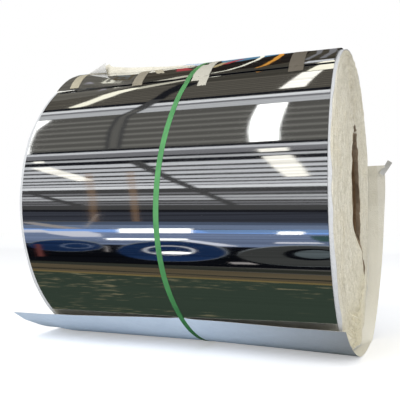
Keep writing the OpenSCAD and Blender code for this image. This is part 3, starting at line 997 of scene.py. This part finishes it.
def reflection_cards():
    """Plain bands, ribs and soft bright patches, in the tones of a large dim hall."""
    # A closed grey tunnel behind all the bands
    around = 96
    tunnel_r = SCREEN_R + 0.4
    angles = all_round(around)
    x, angle = np.meshgrid([-SCREEN_HALF_L, SCREEN_HALF_L], angles)
    stage_card("hall", around_coil(x, angle, tunnel_r), grid_faces(around, 2, closed_rows=True))
    for end_x in (-SCREEN_HALF_L, SCREEN_HALF_L):
        stage_card("mid", around_coil(end_x, angles, tunnel_r), [range(around)])

    # Overhead, from past the top of the coil down to the girder
    band("top", ARC_HIGH, 50.6)
    band("roof_high", 50.6, 45.6)
    band("roof", 45.6, 36.5)
    for middle in 44.4 - 1.03 * np.arange(8):
        band("roof_line", middle + 0.17, middle - 0.17, 1)
    band("black", 36.6, 35.4, 1)
    band("girder", 35.2, 33.95, 1)
    band("mid", 33.95, 33.1, 1)
    band("girder_low", 33.1, 31.0, 1)
    band("hall", 36.5, 15.9)
    for middle in 28.4 - 2.2 * np.arange(6):
        band("rib_soft", middle + 0.62, middle - 0.62, 1)
        band("rib", middle + 0.32, middle - 0.32, 2)
    band("black", 16.3, 15.55, 1)
    band("pale", 15.55, 14.75, 1)
    band("mid", 14.75, 13.2, 1)
    band("black", 13.2, 12.6, 1)
    band("girder_low", 12.6, 11.85, 1)
    band("black", 11.85, 10.7, 1)
    # Pale ribs in front of a dark ground, closer and closer towards the horizon
    band("dark", 10.8, -3.6)
    ribs = [(10.65, 9.55, "pale"), (8.95, 8.05, "pale"), (7.5, 6.6, "pale"), (6.0, 5.15, "pale"),
            (4.7, 4.1, "pale"), (3.65, 3.05, "pale"), (3.05, 2.8, "mid"), (2.75, 1.85, "girder"),
            (0.5, 0.0, "mid"), (-0.05, -0.35, "dark"), (-0.5, -1.05, "girder_low"), (-1.05, -1.4, "mid"),
            (-1.4, -2.0, "girder_low"), (-2.5, -2.9, "mid"), (-3.25, -3.6, "mid")]
    for high, low, tone in ribs:
        band(tone, high, low, 1)
    band("dark", -3.6, -5.1)
    band("black", -5.1, -5.9)
    band("slate", -5.9, -9.1)
    band("dusk", -9.1, -10.2, drop=0.9)
    band("haze", -10.2, -11.5, drop=0.6)
    band("sky", -11.75, -12.8, drop=1.0)
    patch("sky_right", (-11.8, 120, 600), (-12.8, 160, 600), layer=3)
    patch("silver", (-11.7, -520, -430), (-12.8, -520, -370), layer=4)
    band("lavender", -12.8, -17.2, drop=0.9)
    band("night", -17.2, -24.3, drop=0.8)
    band("olive", -24.3, -25.6, drop=1.5)
    band("brown", -25.6, -28.5)
    band("olive", -27.3, -27.7, 1)
    band("gold", -28.5, -29.05, 1)
    band("green", -28.5, ARC_LOW)

    # Two long bright openings overhead, which the steel bends into curves
    patch("cream", (49.9, 475, 560), (48.5, 445, 550), (45.5, 420, 550))
    patch("pearl", (45.2, 410, 470), (41.0, 380, 447), (36.7, 348, 425))
    patch("white", (30.2, 293, 382), (27, 283, 375), (23.5, 275, 368), (20, 273, 363), (16, 280, 365))
    patch("pearl", (13.5, 303, 390), (12.4, 309, 394))
    patch("pearl", (11, 318, 402), (9, 335, 418), (6.5, 360, 438), (4.2, 387, 452))
    patch("cream", (37.4, -398, -350), (38.0, -392, -322), (39.0, -370, -303), (40.8, -330, -271),
          (42, -310, -243), (44.1, -280, -209), (45.2, -252, -176), (46.2, -222, -152), (46.9, -180, -150))
    patch("beam_light", (45.6, -152, -148), (46.1, -152, -112), (46.9, -150, -68), (47.3, -145, -43),
          (48.0, -112, -6), (48.7, -45, 22), (50.0, 15, 55))
    patch("white", (31.6, -600, -445), (29.5, -600, -465), (27, -600, -490), (20, -600, -497),
          (16.5, -600, -490))
    patch("pearl", (13.4, -470, -425), (12.7, -460, -420))
    patch("pearl", (11, -470, -395), (9, -410, -335), (7.4, -350, -280), (5.4, -285, -225))

    # Dark beams that cross the ribs, and two faint see-through streaks
    patch("black", (46, 0, 83), (42, -45, 20), (39.5, -60, -15), (37.5, -78, -28), layer=6)
    patch("dark", (37.5, -78, -28), (33, -135, -85), (30, -189, -135), (24, -203, -140), (16.8, -200, -139),
          layer=6)
    patch("rib_soft", (33, -122, -98), (30, -172, -150), (24, -187, -156), (17, -184, -155), layer=7)
    patch("dark", (11.5, -111, -61), (9, -61, -18), (5, 22, 58), (1, 111, 145), (-3, 200, 232),
          (-5.5, 250, 280), layer=6)
    patch("dark", (2.5, -510, -489), (0, -428, -385), (-2, -350, -305), (-4.5, -256, -200), layer=6)
    patch("faint", (8, -262, -232), (0, -243, -213), (-9, -235, -211), layer=7)
    patch("faint", (8, -111, -83), (0, -95, -68), (-9, -85, -63), layer=7)

    # Bright parts of the window band, and soft ovals below it
    patch("white", (-11.4, -139, 105), (-12.9, -135, 105))
    patch("white", (-12.4, 364, 433), (-13.3, 360, 430))
    patch("silver", (-12.3, -425, -250), (-13.2, -400, -205), (-14.3, -310, -200))
    patch("white", (-14.8, -190, 89), (-15.4, -175, 90))
    patch("silver", (-15.2, 60, 100), (-15.8, 85, 150), (-16.5, 140, 205), (-17.2, 190, 250), layer=6)
    patch("silver", (-15.7, 355, 470), (-16.2, 350, 490), layer=6)
    patch("leaf", (-13.7, 450, 530), (-14.6, 455, 530), (-15.5, 475, 530), layer=6)
    patch("thread", (-8.9, -520, -460), (-9.7, -470, -400), (-10.6, -410, -330), (-11.4, -340, -260),
          layer=6)
    patch("thread", (-6.3, -212, -203), (-11.0, -262, -252), layer=6)
    ovals = ((-345, 145, -17.6, 2.3, "navy"), (30, 181, -19.2, 3.7, "navy"), (445, 205, -20.1, 3.5, "iron"))
    for x, half_x, middle, half_angle, inside in ovals:
        oval("rim", x, middle, half_x, half_angle, 0.0, 3)
        oval(inside, x - 2, middle - 0.1, half_x - 3, half_angle - 0.15, 0.0, 4)
    oval("haze", -300, -17.7, 60, 1.0, 0.85, 5)
    oval("pale", 25, -18.9, 86, 1.7, 0.86, 5)
    oval("white", 40, -19.7, 55, 0.42, 0.0, 6)
    oval("night", 452, -19.6, 80, 1.9, 0.0, 5)
    oval("ash", 462, -19.5, 58, 1.35, 0.0, 6)
    patch("rust", (-17.2, -462, -442), (-22.0, -460, -436), layer=6)
    patch("thread", (-17.6, -192, -184), (-19.8, -192, -184), layer=6)
    patch("thread", (-22.6, 210, 270), (-23.3, 220, 300), layer=6)

    # Coloured streaks high up, past the steel's outer end
    patch("soot", (52.2, 160, 260), (53.5, 60, 370), (58, 50, 400), (71, 50, 420), layer=3)
    patch("blue", (61.5, 130, 180), (64, 105, 260), (66.5, 95, 310), (71, 90, 350))
    patch("hook", (51.5, 90, 115), (52.5, 145, 165), (55, 192, 208), (60, 232, 247), (65, 240, 255),
          (71, 226, 241), layer=7)
    patch("orange", (51.7, 248, 256), (53.2, 270, 289), (58, 296, 314), (64, 305, 323), (71, 295, 312),
          layer=7)
    patch("mid", (54, 400, 420), (60, 435, 450), (66, 430, 450), (71, 420, 440))
    patch("mid", (54, 450, 470), (60, 475, 495), (66, 470, 495), (71, 460, 485))
    patch("pale", (51.0, 400, 500), (52.6, 420, 500))
    patch("tan", (57, 75, 100), (60, 95, 130), (63.5, 115, 150), (65.5, 150, 165))
    patch("red", (59.5, 115, 140), (62.5, 135, 165), (66, 165, 190), layer=7)
    patch("cream", (62, -45, 0), (67, -60, 0), (72, -70, 0), layer=7)
    patch("red", (57.5, -45, 15), (61, -55, -15), (65, -60, -30), (69, -60, -35), layer=8)
    patch("top_left", (50.1, -600, -190), (56, -600, -200), (64, -600, -160), (71, -600, -100), layer=3)
    patch("hook", (52.9, -319, -304), (53.5, -325, -308), (55.0, -323, -313), (56.5, -320, -314),
          (58.0, -315, -311), layer=7)
    patch("hook", (52.9, -304, -285), (53.3, -304, -285), (54, -294, -285), (56, -297, -292), layer=7)
    patch("plum", (53.5, -405, -360), (55.3, -395, -375))
    patch("steel_blue", (56, -280, -255), (60, -290, -262), (66, -310, -285))
    patch("brown", (54, -245, -215), (60, -250, -215), (66, -270, -240))


# The studio


def studio():
    """A pale floor, a soft even light, and the photograph's camera."""
    scene = bpy.context.scene
    scene.view_settings.view_transform = "Standard"

    far, whiter = 30.0, 0.34
    corners = [(x, y, FLOOR_Z) for x, y in ((-far, -far), (far, -far), (far, far), (-far, far))]
    pale = Shader("pale_floor")
    floor = make_mesh("floor", corners, [(0, 1, 2, 3)], pale.finish((0.96, 0.96, 0.96), 0.9))
    # What the camera and reflections see of the floor is whiter, and its light on the object stays as it is
    glow = pale.add("Emission", ("Strength", pale.times(pale.seen(), whiter)))
    pale.show(pale.add("AddShader", (0, pale.principled.outputs[0]), (1, glow)))
    floor.visible_glossy = False

    world = bpy.data.worlds.new("studio")
    scene.world = world
    world.use_nodes = True
    sky = Nodes(world.node_tree)
    sky.tree.nodes.clear()
    # A soft light for the pieces, and plain white for the camera and reflections
    light = sky.add("Background", ("Color", (0.95, 0.97, 1.0, 1.0)), ("Strength", 0.72))
    white = sky.add("Background", ("Color", (1.0, 1.0, 1.0, 1.0)), ("Strength", 1.0))
    output = sky.tree.nodes.new("ShaderNodeOutputWorld")
    sky.put(output.inputs["Surface"], sky.add("MixShader", (0, sky.seen()), (1, light), (2, white)))

    def lamp(name, at, target, side, energy, color=(1.0, 1.0, 1.0)):
        data = bpy.data.lights.new(name, "AREA")
        data.shape = "SQUARE"
        data.size = side
        data.energy = energy
        data.color = color
        made = bpy.data.objects.new(name, data)
        made.location = at
        made.rotation_euler = (Vector(target) - Vector(at)).to_track_quat("-Z", "Y").to_euler()
        made.visible_glossy = False
        scene.collection.objects.link(made)

    lamp("key", (-1.6, -4.2, 3.4), (0, 0, 0), 3.0, 140.0)
    lamp("front_fill", (-0.4, -5.0, 0.3), (0, 0, 0), 2.5, 70.0)
    lamp("right_fill", (5.0, -1.5, 1.2), (0.3, 0, 0), 2.5, 75.0, (1.0, 0.98, 0.94))

    data = bpy.data.cameras.new("camera")
    data.lens = CAMERA_LENS
    data.sensor_width = 36.0
    camera = bpy.data.objects.new("camera", data)
    camera.location = CAMERA_AT
    camera.rotation_euler = (math.pi / 2 + CAMERA_TILT, 0.0, CAMERA_TURN)
    scene.collection.objects.link(camera)
    scene.camera = camera


PAPER_EDGES = paper_edge_finish()
COATED = coated_finish()
CREAM = cream_finish("cream_paper", (0.81, 0.79, 0.725), (0.87, 0.855, 0.80))
PALE_PAPER = cream_finish("pale_paper", (0.86, 0.85, 0.81), (0.93, 0.925, 0.90))
# The folded corner's paler finish is a painted sheen of the coating
FOLD_PAINTED_SHEEN = cream_finish("folded_paper_painted_sheen", (0.78, 0.775, 0.76), (0.84, 0.835, 0.82))
TAPE_PALE = tape_finish("tape_pale", (0.78, 0.765, 0.715), (0.68, 0.665, 0.61))
TAPE_DULL = tape_finish("tape_dull", (0.62, 0.59, 0.52), (0.50, 0.47, 0.41))
TAPE_CREAM = tape_finish("tape_cream", (0.74, 0.71, 0.625), (0.62, 0.59, 0.50))
# The grey tape's darker tones are painted reflection: the dark steel seen through the thin tape
TAPE_GREY_PAINTED_REFLECTION = tape_finish("tape_grey_painted_reflection", (0.455, 0.425, 0.375), (0.33, 0.305, 0.265))
TAPE_GLASSY = tape_finish("tape_glassy", (0.80, 0.80, 0.795), (0.68, 0.68, 0.67))

studio()
reflection_cards()
steel_piece()
paper_piece(-1)
paper_piece(1)
core_materials = frame["nodes"]["core_tube"].data.materials
core_materials.clear()
core_materials.append(cardboard_finish())
sheet_piece()
strap_piece()
paper_under_tail()
over_edge = float(sheet_upper_angle(0.085)) + 8.0
tape_piece("tape_left_band", "tape_left", -0.4305, 0.036, 51.0, 68.3, 13, TAPE_CREAM, 200)
tape_piece("tape_middle_band", "tape_middle", -0.168, 0.038, 48.8, 64.5, 8.5, TAPE_DULL, 210)
tape_piece("tape_scrap_band", "tape_scrap", -0.105, 0.026, 57.5, 64.2, 30, TAPE_CREAM, 220, tear=0.004)
tape_piece("tape_strap_side_band", "tape_strap_side", 0.054, 0.030, 47.3, 62.4, 4, TAPE_PALE, 230)
tape_piece("tape_strap_over_band", "tape_strap_over", 0.085, 0.030, 43.4, over_edge, 4, TAPE_PALE, 240,
           climbs=True)
tape_piece("tape_right_band", "tape_right", 0.386, 0.046, 46.6, 176, 3.5, TAPE_GREY_PAINTED_REFLECTION, 250, climbs=True)
corner_tape()
